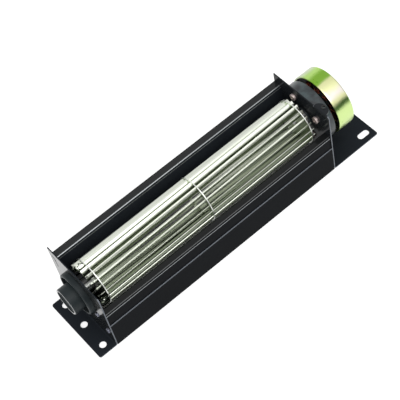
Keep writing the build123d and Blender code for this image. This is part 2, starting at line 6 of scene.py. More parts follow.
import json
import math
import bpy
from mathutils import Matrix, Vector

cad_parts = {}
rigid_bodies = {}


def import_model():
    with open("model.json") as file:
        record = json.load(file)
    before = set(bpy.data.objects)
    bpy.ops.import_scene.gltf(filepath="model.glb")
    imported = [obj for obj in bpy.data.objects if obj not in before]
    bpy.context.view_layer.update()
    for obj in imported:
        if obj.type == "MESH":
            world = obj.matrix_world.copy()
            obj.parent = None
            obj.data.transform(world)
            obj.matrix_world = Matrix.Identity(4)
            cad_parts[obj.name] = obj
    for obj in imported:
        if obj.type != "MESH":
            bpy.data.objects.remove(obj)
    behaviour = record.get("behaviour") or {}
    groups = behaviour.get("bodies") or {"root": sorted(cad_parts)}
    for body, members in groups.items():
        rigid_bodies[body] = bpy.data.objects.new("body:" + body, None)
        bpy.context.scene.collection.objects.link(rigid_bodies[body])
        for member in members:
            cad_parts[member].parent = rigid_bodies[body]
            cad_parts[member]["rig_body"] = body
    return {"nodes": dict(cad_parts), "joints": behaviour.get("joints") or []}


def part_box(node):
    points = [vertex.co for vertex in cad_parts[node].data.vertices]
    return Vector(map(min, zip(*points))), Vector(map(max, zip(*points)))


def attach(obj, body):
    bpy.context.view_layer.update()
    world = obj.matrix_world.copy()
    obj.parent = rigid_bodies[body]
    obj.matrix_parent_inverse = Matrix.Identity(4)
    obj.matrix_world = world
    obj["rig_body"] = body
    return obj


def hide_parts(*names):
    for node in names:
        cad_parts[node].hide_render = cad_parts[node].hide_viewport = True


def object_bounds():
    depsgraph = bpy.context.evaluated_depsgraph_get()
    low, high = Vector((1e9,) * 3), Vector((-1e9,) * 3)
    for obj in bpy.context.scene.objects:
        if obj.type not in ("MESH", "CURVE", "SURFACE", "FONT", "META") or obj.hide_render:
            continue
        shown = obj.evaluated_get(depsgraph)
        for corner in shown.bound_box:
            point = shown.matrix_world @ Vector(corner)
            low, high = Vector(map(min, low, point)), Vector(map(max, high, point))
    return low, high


bl_info = {
    "name": "Cross Flow Fan",
    "version": (1, 0, 0),
    "blender": (4, 5, 0),
    "location": "3D View > Sidebar > Fan",
    "description": "Dresses a cross flow fan with its finishes, small parts and a studio",
    "category": "Object",
}

import bmesh
import bpy
from mathutils import Matrix, Vector

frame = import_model()
CAD_LOW, CAD_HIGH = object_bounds()

MM = 0.001
HAIR = 0.02 * MM                # places closer than this are the same place
FACET = 0.05 * MM               # how far a corner may lie off the circle that it belongs to
WELD = 0.001 * MM               # corners closer than this are joined
SQUARE = 0.99                   # cosine of the angle within which a face looks along the axis
FLAT_TURN = math.radians(0.3)   # faces that meet at less are one flat
SMOOTH_TURN = math.radians(30.0)    # faces that meet at less are shaded as one curve
SHARP_TURN = math.radians(50.0)     # edges that meet at more are eased

AXIS_Y, AXIS_Z = frame["joints"][0]["pos_m"][1:]
CAN_LOW, CAN_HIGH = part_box("rotor_can")
CAN_RADIUS = (CAN_HIGH.z - CAN_LOW.z) / 2
WHEEL_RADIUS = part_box("middle_ring")[1].z - AXIS_Z
BOSS_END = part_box("bearing_holder")[0].x
TIP_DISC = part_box("bearing_end_disc")[0].x   # the blades end as tips beyond this disc, where shade is painted on them
SCROLL_LOW, SCROLL_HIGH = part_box("rear_scroll")
TONGUE_LOW, TONGUE_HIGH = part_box("front_tongue")
PANEL_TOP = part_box("front_lower_panel")[1].z
LEFT_WEB, RIGHT_WEB = SCROLL_LOW.x, SCROLL_HIGH.x   # outer faces of the end plates' upright walls
FOOT_TOP = 4.0 * MM             # above the feet and their folds
TOP_BAND = 1.0 * MM             # an upper face lies within this of its sheet's top

BLADES = tuple(sorted(name for name in frame["nodes"] if name.startswith("blade_")))
DISCS = ("bearing_end_disc", "middle_ring", "motor_end_disc")

# Lines along the folds that carry a painted highlight: y, z and the reach of the highlight.
FOLD_FADE = 0.35 * MM
SCROLL_FOLDS = (
    (SCROLL_HIGH.y - 6.75 * MM, SCROLL_HIGH.z - 0.75 * MM, 0.55 * MM),
    (SCROLL_HIGH.y - 7.4 * MM, SCROLL_HIGH.z - 2.9 * MM, 0.62 * MM),
)
TONGUE_FOLDS = (
    (TONGUE_LOW.y + 1.25 * MM, TONGUE_HIGH.z - 0.1 * MM, 0.32 * MM),
    (TONGUE_LOW.y + 0.1 * MM, TONGUE_HIGH.z - 1.8 * MM, 0.4 * MM),
)


# ---------------------------------------------------------------- materials

class Value:
    """A number that flows between shader nodes; sums and products on it add Math nodes."""

    def __init__(self, nodes, socket):
        self.nodes = nodes
        self.socket = socket

    def __add__(self, other):
        return self.nodes.math("ADD", self, other)

    def __radd__(self, other):
        return self.nodes.math("ADD", other, self)

    def __sub__(self, other):
        return self.nodes.math("SUBTRACT", self, other)

    def __rsub__(self, other):
        return self.nodes.math("SUBTRACT", other, self)

    def __mul__(self, other):
        return self.nodes.math("MULTIPLY", self, other)

    def __rmul__(self, other):
        return self.nodes.math("MULTIPLY", other, self)

    def __truediv__(self, other):
        return self.nodes.math("DIVIDE", self, other)

    def __pow__(self, other):
        return self.nodes.math("POWER", self, other)

    def limited(self):
        """The same value, kept between 0 and 1."""
        node = self.nodes.node("ShaderNodeClamp", {}, {"Value": self})
        return Value(self.nodes, node.outputs[0])


class Nodes:
    """A node tree and the one way in which nodes are added to it."""

    def __init__(self, tree):
        self.tree = tree

    def node(self, kind, settings, inputs):
        """Add a node: its settings first, then the values or links of its sockets."""
        made = self.tree.nodes.new(kind)
        for name, setting in settings.items():
            setattr(made, name, setting)
        for name, value in inputs.items():
            self.feed(made.inputs[name], value)
        return made

    def feed(self, socket, value):
        """Link a value or a socket to a socket, or set its constant."""
        if isinstance(value, Value):
            value = value.socket
        if isinstance(value, bpy.types.NodeSocket):
            self.tree.links.new(value, socket)
        else:
            socket.default_value = value

    def math(self, operation, first, second=0.0):
        node = self.node("ShaderNodeMath", {"operation": operation}, {0: first, 1: second})
        return Value(self, node.outputs[0])

    def axes(self, where):
        """A vector socket, split into the three values x, y and z."""
        split = self.node("ShaderNodeSeparateXYZ", {}, {0: where})
        return [Value(self, output) for output in split.outputs]

    def blend(self, amount, first, second):
        """Mix of two colours."""
        made = self.node("ShaderNodeMix", {"data_type": "RGBA"}, {
            "Factor": amount, 6: rgba(first), 7: rgba(second)})
        return made.outputs[2]

    def ramp(self, value, stops, smooth="LINEAR"):
        """Colour ramp; stops are (position, colour) pairs."""
        made = self.node("ShaderNodeValToRGB", {}, {0: value})
        ramp = made.color_ramp
        ramp.interpolation = smooth
        while len(ramp.elements) < len(stops):
            ramp.elements.new(0.5)
        for element, (position, colour) in zip(ramp.elements, stops):
            element.position = position
            element.color = rgba(colour)
        return made.outputs["Color"]


class Finish(Nodes):
    """One procedural material: its Principled shader and the nodes that feed it."""

    def __init__(self, name):
        self.material = bpy.data.materials.new(name)
        self.material.use_nodes = True
        super().__init__(self.material.node_tree)
        self.shader = self.tree.nodes["Principled BSDF"]

    def set(self, **constants):
        """Fixed numbers, straight on the shader's sockets."""
        for name, value in constants.items():
            self.shader.inputs[name.replace("_", " ")].default_value = value
        return self

    def place(self):
        """Object coordinates."""
        return self.node("ShaderNodeTexCoord", {}, {}).outputs["Object"]

    def stretched(self, where, scale):
        return self.node("ShaderNodeMapping", {}, {"Vector": where, "Scale": scale}).outputs[0]

    def noise(self, where, scale, detail=2.0, roughness=0.5):
        made = self.node("ShaderNodeTexNoise", {}, {
            "Vector": where, "Scale": scale, "Detail": detail, "Roughness": roughness})
        return Value(self, made.outputs["Fac"])

    def drive(self, name, value):
        """Feed one of the shader's sockets."""
        self.feed(self.shader.inputs[name], value)

    def bump(self, height, strength, distance):
        """Add relief to the shader's normal; returns the finished material."""
        made = self.node("ShaderNodeBump", {}, {
            "Height": height, "Strength": strength, "Distance": distance})
        self.drive("Normal", made.outputs[0])
        return self.material


def rgba(colour):
    """Three numbers become a colour with full alpha; a value or a socket passes through."""
    if isinstance(colour, (Value, bpy.types.NodeSocket)):
        return colour
    return (*colour[:3], 1.0)


def grey(level):
    return (level, level, level)


def tinted(colour, *tones):
    """The colour at several brightnesses."""
    return [[channel * tone for channel in colour] for tone in tones]


def above(value, level, fade=0.3 * MM):
    """1 where a value is past a level, with a short fade."""
    return ((value - level) / fade).limited()


def around(y, z, centre=(AXIS_Y, AXIS_Z)):
    """Distance from a line along X, which is the fan's axis if no other is named."""
    return ((y - centre[0]) * (y - centre[0]) + (z - centre[1]) * (z - centre[1])) ** 0.5


def folds(y, z, lines):
    """1 along the rounded folds of a sheet, where a highlight is painted."""
    mask = 0.0
    for fold_y, fold_z, reach in lines:
        mask = ((reach - around(y, z, (fold_y, fold_z))) / FOLD_FADE).limited() + mask
    return mask.limited()


def gloss_black(name, colours, shade, coat, lines=()):
    """Gloss black stove enamel with faint orange peel, and painted highlights along folds and cut edges.

    shade scales the paint's colour piece by piece as painted light and shade, lighter on some pieces and
    darker on others; coat gives the depth of the gloss from x, y and z.
    """
    finish = Finish(name).set(IOR=1.5, Specular_IOR_Level=colours.gloss, Coat_Roughness=0.1)
    where = finish.place()
    x, y, z = finish.axes(where)
    cloud = finish.noise(where, 35.0, 3.0)
    # Painted light and shade: the paint's colour is scaled by shade, piece by piece.
    colour = finish.blend(cloud, *tinted(colours.paint, shade * 0.8, shade * 1.2))
    wet = coat(x, y, z)
    colour = finish.blend(wet, colour, colours.deep_paint)
    # Painted highlight on the marked cut edges.
    edge_highlight = finish.node("ShaderNodeAttribute", {"attribute_name": "thin_paint"}, {}).outputs["Fac"]
    colour = finish.blend(edge_highlight, colour, colours.cut_edge_highlight)
    if lines:
        # Painted highlight along the folds: a light, nearly metallic strip that reflects the world as a lit
        # fold would.
        thin = folds(y, z, lines)
        colour = finish.blend(thin, colour, colours.thin_paint)
        finish.drive("Metallic", thin * 0.9)
    finish.drive("Base Color", colour)
    finish.drive("Coat Weight", wet)
    finish.drive("Roughness", 0.2 + 0.1 * finish.noise(where, 60.0, 3.0))
    peel = finish.noise(where, 500.0, 1.0)
    return finish.bump(peel, 0.03, 0.2 * MM)


def bright_blade(colours):
    """Rolled blade sheet: satin metal, darkened inwards with painted shade inside the wheel, and dark
    flecks of painted shade on the staked tips, fewer towards the top.
    """
    finish = Finish("rolled_blade_metal").set(Metallic=1.0)
    where = finish.place()
    x, y, z = finish.axes(where)
    patches = finish.noise(finish.stretched(where, (12.0, 90.0, 90.0)), 1.0, 2.0)
    metal = finish.blend(patches, colours.blade, colours.blade_dull)
    # Painted shade: the sheet darkens towards the inside of the wheel.
    outside = above(around(y, z), WHEEL_RADIUS - 4.5 * MM, 3.0 * MM)
    metal = finish.blend(outside, colours.painted_wheel_shade, metal)
    # Painted shade on the tips beyond the disc: dark flecks that grow fewer towards the top.
    tip = 1 - above(x, TIP_DISC, 0.1 * MM)
    height = (z - AXIS_Z) * (0.2 / WHEEL_RADIUS)
    fleck = ((finish.noise(where, 420.0, 2.0) - 0.54 + height) * 12).limited()
    finish.drive("Base Color", finish.blend(tip * (1 - fleck), metal, colours.tip_painted_shade))
    finish.drive("Roughness", 0.22 + 0.12 * patches)
    waves = finish.noise(finish.stretched(where, (25.0, 160.0, 160.0)), 1.0, 1.0)
    return finish.bump(waves, 0.04, 0.3 * MM)


def disc_sheet(colours):
    """Pressed disc: polished rim, and faces darkened with the painted shade of the wheel."""
    finish = Finish("disc_sheet").set(Metallic=1.0)
    where = finish.place()
    _, y, z = finish.axes(where)
    spread = finish.noise(where, 300.0, 2.0)
    rim = above(around(y, z), WHEEL_RADIUS - 0.4 * MM, 0.2 * MM)
    finish.drive("Base Color", finish.blend(rim, colours.painted_wheel_shade, colours.rim))
    finish.drive("Roughness", 0.3 + 0.15 * spread)
    return finish.bump(spread, 0.05, 0.1 * MM)


def slate_casting(colours):
    """Slate grey paint on the motor's casting, clouded at random with lighter and darker patches: partly
    the paint's own patchy tone, partly painted reflection blotches.
    """
    finish = Finish("slate_casting").set(Metallic=0.0, Coat_Weight=0.25, Coat_Roughness=0.1)
    where = finish.place()
    grain = finish.noise(where, 500.0, 2.0)
    # The lighter patches are partly painted reflection.
    cloud = ((finish.noise(where, 75.0, 4.0, 0.6) - 0.4) * 4).limited()
    finish.drive("Base Color", finish.blend(cloud, colours.casting_dark, colours.casting))
    finish.drive("Roughness", 0.3 + 0.2 * grain)
    return finish.bump(cloud + grain, 0.12, 0.3 * MM)


def moulded_plastic(colours):
    """Slate grey moulded plastic with a fine spark-eroded grain; the boss's end is glossy."""
    finish = Finish("moulded_plastic").set(Metallic=0.0, Specular_IOR_Level=0.25, Coat_Roughness=0.12)
    where = finish.place()
    x = finish.axes(where)[0]
    grain = finish.noise(where, 1500.0, 2.0)
    cloud = finish.noise(where, 60.0, 2.0)
    finish.drive("Base Color", finish.blend(cloud, *tinted(colours.plastic, 1.0, 0.8)))
    finish.drive("Coat Weight", 1 - above(x, BOSS_END + 0.25 * MM, 0.1 * MM))
    finish.drive("Roughness", 0.35 + 0.2 * grain)
    return finish.bump(grain, 0.2, 0.1 * MM)


def yellow_zinc(colours):
    """Passivated zinc plate: painted reflections of the light tent in zinc tints, as stripes around the
    can, and tinted rings on its closed end.
    """
    finish = Finish("yellow_zinc_plate").set(Metallic=1.0)
    where = finish.place()
    x, y, z = finish.axes(where)
    drift = finish.noise(finish.stretched(where, (60.0, 90.0, 90.0)), 1.0, 3.0, 0.7) - 0.5
    turn = finish.math("ARCTAN2", z - AXIS_Z, (y - AXIS_Y) * -1.0) / (2 * math.pi) + 0.5
    # Painted reflection: the tint follows the turn about the axis, so the stripes stay at the front, top
    # and back.
    bands = finish.ramp(turn + drift * 0.03, colours.zinc_reflection_bands(), "EASE")
    rings = finish.ramp(around(y, z) / CAN_RADIUS + drift * 0.1, colours.zinc_rings(), "EASE")
    tints = finish.blend(above(x, CAN_HIGH.x - 1.2 * MM, 1.0 * MM), bands, rings)
    fog = finish.noise(where, 140.0, 3.0)
    finish.drive("Base Color", finish.blend(fog * 0.12, tints, colours.fog))
    finish.drive("Roughness", 0.22 + 0.15 * fog)
    turning = finish.noise(finish.stretched(where, (2500.0, 30.0, 30.0)), 1.0, 2.0)
    return finish.bump(turning, 0.05, 0.1 * MM)


# Plain metals: colour and roughness.
METALS = {
    "rivet_steel": ((0.24, 0.25, 0.31), 0.35),
    "ground_steel": (grey(0.6), 0.2),
    "bearing_steel": (grey(0.55), 0.25),
    "screw_zinc": (grey(0.55), 0.3),
    "motor_screw_zinc": ((0.9, 0.76, 0.72), 0.35),
    "sintered_bronze": ((0.45, 0.28, 0.12), 0.45),
}


def plain_metal(name):
    """Plated, ground or sintered metal with fine scratches in its gloss."""
    colour, roughness = METALS[name]
    finish = Finish(name).set(Metallic=1.0)
    scratch = finish.noise(finish.place(), 400.0, 3.0)
    finish.drive("Base Color", finish.blend(scratch, *tinted(colour, 1.0, 0.8)))
    finish.drive("Roughness", roughness + 0.15 * scratch)
    return finish.bump(scratch, 0.08, 0.1 * MM)


def matt_rubber():
    """Black rubber with a matt grain."""
    finish = Finish("matt_rubber").set(Metallic=0.0)
    grain = finish.noise(finish.place(), 1200.0, 2.0)
    finish.drive("Base Color", finish.blend(grain, grey(0.012), grey(0.03)))
    finish.drive("Roughness", 0.6 + 0.2 * grain)
    return finish.bump(grain, 0.2, 0.1 * MM)


def enamelled_copper():
    """Wound wire in dark red-brown enamel with painted glints of bright copper at random, and fine ridges
    about the axis.
    """
    finish = Finish("enamelled_copper").set(Metallic=0.9)
    where = finish.place()
    _, y, z = finish.axes(where)
    ridge = finish.math("SINE", around(y, z) * (2 * math.pi / (0.6 * MM)))
    # Painted glints: random spots of bright copper.
    glint = ((finish.noise(where, 210.0, 2.0) - 0.53) * 10).limited()
    finish.drive("Base Color", finish.blend(glint, (0.035, 0.012, 0.01), (0.42, 0.1, 0.055)))
    finish.drive("Roughness", 0.25 + 0.15 * finish.noise(where, 500.0))
    return finish.bump(ridge, 0.5, 0.2 * MM)


def dark_mineral(name, level):
    """Grey of a given level with a lighter grain, for laminations and ferrite."""
    finish = Finish(name).set(Metallic=0.2)
    grain = finish.noise(finish.place(), 800.0, 3.0)
    finish.drive("Base Color", finish.blend(grain, grey(level), grey(level * 1.6)))
    finish.drive("Roughness", 0.5 + 0.2 * grain)
    return finish.bump(grain, 0.2, 0.1 * MM)


def dress(names, material):
    """Give CAD nodes a finish in their own material slots."""
    for name in names:
        node = frame["nodes"][name]
        node.data.materials.clear()
        node.data.materials.append(material)


# ---------------------------------------------------------------- modelling

def work_on(piece):
    """Object mode, with this piece alone selected and active."""
    if bpy.context.mode != "OBJECT":
        bpy.ops.object.mode_set(mode="OBJECT")
    bpy.ops.object.select_all(action="DESELECT")
    piece.select_set(True)
    bpy.context.view_layer.objects.active = piece


def open_mesh(piece):
    """Edit mode on one piece."""
    work_on(piece)
    bpy.ops.object.mode_set(mode="EDIT")


def pick(piece, test, kind="FACE"):
    """In edit mode, select only the faces, edges or corners that pass a test."""
    bpy.ops.mesh.select_mode(type=kind)
    bpy.ops.mesh.select_all(action="DESELECT")
    mesh = bmesh.from_edit_mesh(piece.data)
    parts = {"FACE": mesh.faces, "EDGE": mesh.edges, "VERT": mesh.verts}[kind]
    for part in parts:
        part.select_set(bool(test(part)))
    mesh.select_flush_mode()
    bmesh.update_edit_mesh(piece.data)


def off_axis(point, centre=(AXIS_Y, AXIS_Z)):
    """Distance of a point from a line along X, which is the fan's axis if no other is named."""
    return math.hypot(point.y - centre[0], point.z - centre[1])


def flat_at(x, direction):
    """Test for faces that lie in the plane at x and look along the axis in one direction."""
    return lambda face: face.normal.x * direction > SQUARE and abs(face.calc_center_median().x - x) < HAIR


def rim_at(x, radius, centre=(AXIS_Y, AXIS_Z)):
    """Test for the edges of a circle about a line along X."""
    def test(edge):
        return all(abs(corner.co.x - x) < HAIR and abs(off_axis(corner.co, centre) - radius) < FACET
                   for corner in edge.verts)
    return test


def edges_along(axis):
    """Test for the edges of a box that run along one of its axes."""
    return lambda edge: abs(edge.verts[0].co[axis] - edge.verts[1].co[axis]) > HAIR


def push(distance):
    """Extrude the selected faces along the fan's axis."""
    bpy.ops.mesh.extrude_region_move(TRANSFORM_OT_translate={"value": (distance, 0, 0)})


def inset(width, rise=0.0):
    """Inset the selected faces, and raise the middle by rise along their normal."""
    bpy.ops.mesh.inset(thickness=width, depth=rise, use_even_offset=True)


def ease(width, steps):
    """Bevel the selected edges."""
    bpy.ops.mesh.bevel(offset=width, offset_type="OFFSET", segments=steps, profile=0.5, affect="EDGES")


def sized(size):
    """Scale the primitive that was just added, and keep its place, turn and size in its mesh."""
    piece = bpy.context.active_object
    piece.scale = size
    work_on(piece)
    bpy.ops.object.transform_apply(location=True, rotation=True, scale=True)
    return piece


def box_bar(middle, size, rotation=(0, 0, 0)):
    """Box about its middle."""
    bpy.ops.mesh.primitive_cube_add(size=1.0, location=middle, rotation=rotation)
    return sized(size)


def round_bar(name, start, end, radius, sides, centre=(AXIS_Y, AXIS_Z)):
    """Cylinder along X, from start to end, with its place in its mesh."""
    bpy.ops.mesh.primitive_cylinder_add(
        vertices=sides, radius=radius, depth=end - start, end_fill_type="NGON",
        location=((start + end) / 2, centre[0], centre[1]), rotation=(0, math.pi / 2, 0))
    piece = sized((1, 1, 1))
    piece.name = name
    return piece


def applied(piece, kind, **settings):
    """Add a modifier and apply it."""
    work_on(piece)
    modifier = piece.modifiers.new("step", kind)
    for name, value in settings.items():
        setattr(modifier, name, value)
    bpy.ops.object.modifier_apply(modifier=modifier.name)


def cut_away(piece, tool):
    """Subtract one mesh from another."""
    applied(piece, "BOOLEAN", operation="DIFFERENCE", object=tool, solver="EXACT")
    bpy.data.objects.remove(tool)


def joined(name, pieces):
    """Several pieces become one object."""
    work_on(pieces[0])
    for piece in pieces[1:]:
        piece.select_set(True)
    bpy.ops.object.join()
    pieces[0].name = name
    return pieces[0]


def copied(piece, turn):
    """Copy with its own mesh, turned about the fan's axis."""
    work_on(piece)
    bpy.ops.object.duplicate(linked=False)
    made = bpy.context.active_object
    open_mesh(made)
    bpy.ops.mesh.select_all(action="SELECT")
    bpy.ops.transform.rotate(
        value=turn, orient_axis="X", orient_type="GLOBAL", center_override=(0, AXIS_Y, AXIS_Z))
    bpy.ops.object.mode_set(mode="OBJECT")
    return made


def fitted(piece, node, material):
    """Finish a modelled piece and let it stand for a CAD node on that node's body."""
    source = frame["nodes"][node]
    work_on(piece)
    bpy.ops.object.shade_smooth_by_angle(angle=SMOOTH_TURN)
    piece.data.materials.clear()
    piece.data.materials.append(material)
    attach(piece, source["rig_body"])
    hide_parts(node)
    return piece


def eased(node, width, material, steps=2, rework=None):
    """Copy of a CAD piece with its sharp edges eased, as a press or a mould leaves them.

    rework changes the eased mesh before it is shaded.
    """
    source = frame["nodes"][node]
    piece = bpy.data.objects.new(node + "_eased", source.data.copy())
    bpy.context.scene.collection.objects.link(piece)
    open_mesh(piece)
    bpy.ops.mesh.select_all(action="SELECT")
    bpy.ops.mesh.customdata_custom_splitnormals_clear()
    bpy.ops.mesh.remove_doubles(threshold=WELD)
    bpy.ops.mesh.dissolve_limited(angle_limit=FLAT_TURN)
    bpy.ops.object.mode_set(mode="OBJECT")
    applied(piece, "BEVEL", width=width, segments=steps, limit_method="ANGLE",
            angle_limit=SHARP_TURN, use_clamp_overlap=True, harden_normals=False)
    if rework:
        rework(piece)
    fitted(piece, node, material)
    applied(piece, "WEIGHTED_NORMAL", keep_sharp=True, weight=80)
    return piece


def mark_edge_highlight(piece, edge_highlight):
    """Mark the faces of a sheet that pass a test, such as its cut edges, as carrying a painted highlight.
    """
    marks = piece.data.attributes.new("thin_paint", "FLOAT", "FACE")
    for face, mark in zip(piece.data.polygons, marks.data):
        mark.value = float(edge_highlight(face))


# ---------------------------------------------------------------- settings a user would change

class FanColours(bpy.types.PropertyGroup):
    """Colours of the finishes."""

    paint: bpy.props.FloatVectorProperty(
        name="Housing paint", description="Colour of the sheet housing", subtype="COLOR",
        default=(0.0105, 0.0125, 0.0155), min=0.0, max=1.0)
    deep_paint: bpy.props.FloatVectorProperty(
        name="Deep paint", description="Colour of the housing paint where it pooled", subtype="COLOR",
        default=(0.013, 0.0135, 0.0115), min=0.0, max=1.0)
    # Painted highlight on the cut edges.
    cut_edge_highlight: bpy.props.FloatVectorProperty(
        name="Cut edge", description="Colour of the thin paint on the cut edges", subtype="COLOR",
        default=(0.22, 0.24, 0.27), min=0.0, max=1.0)
    # Painted highlight along the folds.
    thin_paint: bpy.props.FloatVectorProperty(
        name="Thin paint", description="Colour where the paint is drawn thin along a fold", subtype="COLOR",
        default=(0.42, 0.44, 0.45), min=0.0, max=1.0)
    gloss: bpy.props.FloatProperty(
        name="Paint gloss", description="Specular level of the housing paint",
        default=0.018, min=0.0, max=1.0)
    blade: bpy.props.FloatVectorProperty(
        name="Blade metal", description="Colour of the impeller's sheet", subtype="COLOR",
        default=(0.96, 0.98, 0.92), min=0.0, max=1.0)
    # Painted shade inside the wheel, on the blades and on the discs' faces.
    painted_wheel_shade: bpy.props.FloatVectorProperty(
        name="Inner blade edges", description="Colour of the sheet inside the wheel", subtype="COLOR",
        default=(0.34, 0.39, 0.28), min=0.0, max=1.0)
    # Painted shade flecked on the blade tips beyond the bearing's disc.
    tip_painted_shade: bpy.props.FloatVectorProperty(
        name="Staked tips", description="Dark flecks on the blade tips", subtype="COLOR",
        default=(0.02, 0.025, 0.02), min=0.0, max=1.0)
    rim: bpy.props.FloatVectorProperty(
        name="Disc rim", description="Colour of the polished rims", subtype="COLOR",
        default=(0.97, 0.99, 0.94), min=0.0, max=1.0)
    blade_dull: bpy.props.FloatVectorProperty(
        name="Dull blade metal", description="Colour of the sheet in its dull patches", subtype="COLOR",
        default=(0.84, 0.89, 0.75), min=0.0, max=1.0)
    casting: bpy.props.FloatVectorProperty(
        name="Motor casting", description="Colour of the motor body", subtype="COLOR",
        default=(0.05, 0.075, 0.08), min=0.0, max=1.0)
    casting_dark: bpy.props.FloatVectorProperty(
        name="Dark casting", description="Colour of the motor body's darker patches", subtype="COLOR",
        default=(0.012, 0.015, 0.019), min=0.0, max=1.0)
    plastic: bpy.props.FloatVectorProperty(
        name="Bearing holder", description="Colour of the moulded bearing holder", subtype="COLOR",
        default=(0.02, 0.028, 0.031), min=0.0, max=1.0)
    # The zinc colours below are painted reflections of the light tent in the zinc's tints; frost, green and
    # mint also tint the rings.
    lime: bpy.props.FloatVectorProperty(
        name="Zinc, lime band", description="Lime tint of the passivated zinc", subtype="COLOR",
        default=(0.6, 0.77, 0.3), min=0.0, max=1.0)
    green: bpy.props.FloatVectorProperty(
        name="Zinc, green band", description="Green tint of the passivated zinc", subtype="COLOR",
        default=(0.26, 0.55, 0.035), min=0.0, max=1.0)
    moss: bpy.props.FloatVectorProperty(
        name="Zinc, moss band", description="Dark green tint of the passivated zinc", subtype="COLOR",
        default=(0.13, 0.27, 0.055), min=0.0, max=1.0)
    pale: bpy.props.FloatVectorProperty(
        name="Zinc, pale band", description="Pale yellow tint of the passivated zinc", subtype="COLOR",
        default=(0.93, 0.95, 0.5), min=0.0, max=1.0)
    mint: bpy.props.FloatVectorProperty(
        name="Zinc, mint band", description="Mint tint of the passivated zinc", subtype="COLOR",
        default=(0.56, 0.88, 0.21), min=0.0, max=1.0)
    frost: bpy.props.FloatVectorProperty(
        name="Zinc, frost band", description="Greyish tint of the passivated zinc", subtype="COLOR",
        default=(0.43, 0.5, 0.33), min=0.0, max=1.0)
    blush: bpy.props.FloatVectorProperty(
        name="Zinc, blush band", description="Pinkish tint of the passivated zinc", subtype="COLOR",
        default=(1.0, 0.93, 0.86), min=0.0, max=1.0)
    fog: bpy.props.FloatVectorProperty(
        name="Zinc, fog", description="Pale film over the passivated zinc", subtype="COLOR",
        default=(0.85, 0.9, 0.62), min=0.0, max=1.0)

    def zinc_reflection_bands(self):
        """Stops of the painted reflection stripes around the can; 0.5 is the front, 0.75 the top and 1 the
        back.
        """
        bands = ((0.0, "frost"), (0.14, "mint"), (0.28, "pale"), (0.4, "lime"), (0.562, "lime"),
                 (0.592, "moss"), (0.62, "pale"), (0.65, "blush"), (0.69, "pale"), (0.722, "pale"),
                 (0.742, "green"), (0.77, "green"), (0.81, "mint"), (0.87, "frost"), (1.0, "frost"))
        return [(position, getattr(self, name)) for position, name in bands]

    def zinc_rings(self):
        """Stops from the middle of the can's closed end to its rim."""
        rings = ((0.0, "frost"), (0.3, "green"), (0.5, "frost"), (0.75, "mint"), (1.0, "frost"))
        return [(position, getattr(self, name)) for position, name in rings]


class FanSizes(bpy.types.PropertyGroup):
    """Sizes of the modelled details."""

    edge: bpy.props.FloatProperty(
        name="Sheet edge", description="Ease of the punched sheet edges", subtype="DISTANCE",
        default=0.14 * MM)
    mould_edge: bpy.props.FloatProperty(
        name="Moulded edge", description="Ease of the moulded edges", subtype="DISTANCE",
        default=0.3 * MM)
    can_wall: bpy.props.FloatProperty(
        name="Can wall", description="Sheet of the rotor can", subtype="DISTANCE", default=1.2 * MM)
    can_corner: bpy.props.FloatProperty(
        name="Can corner", description="Rounding at the closed end", subtype="DISTANCE",
        default=1.8 * MM)
    can_boss: bpy.props.FloatProperty(
        name="Can boss", description="Radius of the boss inside the can", subtype="DISTANCE",
        default=8.0 * MM)
    can_boss_length: bpy.props.FloatProperty(
        name="Boss length", description="Boss from the can's floor", subtype="DISTANCE",
        default=3.0 * MM)
    stake_inset: bpy.props.FloatProperty(
        name="Stake inset", description="Mouth to the staking marks", subtype="DISTANCE",
        default=2.6 * MM)
    stake_length: bpy.props.FloatProperty(
        name="Stake length", description="Staking mark along the can", subtype="DISTANCE",
        default=1.1 * MM)
    stake_count: bpy.props.IntProperty(
        name="Stakes", description="Staking marks around the can", default=12)
    wire_radius: bpy.props.FloatProperty(
        name="Wire radius", description="Radius of the enamelled wire", subtype="DISTANCE",
        default=0.31 * MM)
    coil_span: bpy.props.FloatProperty(
        name="Coil span", description="Wound stretch of each tooth", subtype="DISTANCE",
        default=9.4 * MM)
    coil_width: bpy.props.FloatProperty(
        name="Coil width", description="Each coil across its tooth", subtype="DISTANCE",
        default=6.0 * MM)
    coil_count: bpy.props.IntProperty(
        name="Coils", description="Teeth of the stator", default=9)


class FanStudio(bpy.types.PropertyGroup):
    """Camera and light."""

    azimuth: bpy.props.FloatProperty(
        name="Azimuth", description="Camera's turn about the upright", subtype="ANGLE",
        default=math.radians(-28.65))
    elevation: bpy.props.FloatProperty(
        name="Elevation", description="Camera's height above the horizon", subtype="ANGLE",
        default=math.radians(54.58))
    roll: bpy.props.FloatProperty(
        name="Roll", description="Camera's turn about its own line of sight", subtype="ANGLE",
        default=math.radians(-14.22))
    distance: bpy.props.FloatProperty(
        name="Distance", description="Camera to the aimed point", subtype="DISTANCE",
        default=1.122)
    lens: bpy.props.FloatProperty(
        name="Lens", description="Focal length for a 36 mm sensor", default=117.46)
    aim: bpy.props.FloatVectorProperty(
        name="Aim", description="Point that the camera looks at", subtype="TRANSLATION",
        default=(0.00446, 0.00042, 0.04681))
    shift: bpy.props.FloatVectorProperty(
        name="Shift", description="Sideways and upward lens shift", size=2, default=(-0.03675, -0.0379))
    lamp_power: bpy.props.FloatProperty(
        name="Main lamp", description="Power of the large lamp", subtype="POWER", default=7.0)


# ---------------------------------------------------------------- stage

SENSOR = 36.0                   # camera sensor's width in millimetres
FLOOR_SIZE = 6.0
LAMP_PLACE = (-0.25, -0.6, 1.3)     # above, a little to the front and to the bearing's side
LAMP_AIM = (0, 0, 0.04)
LAMP_SIZE = (1.6, 1.0)
SIDE_LIGHT = 0.45               # brightness of the light tent at both sides


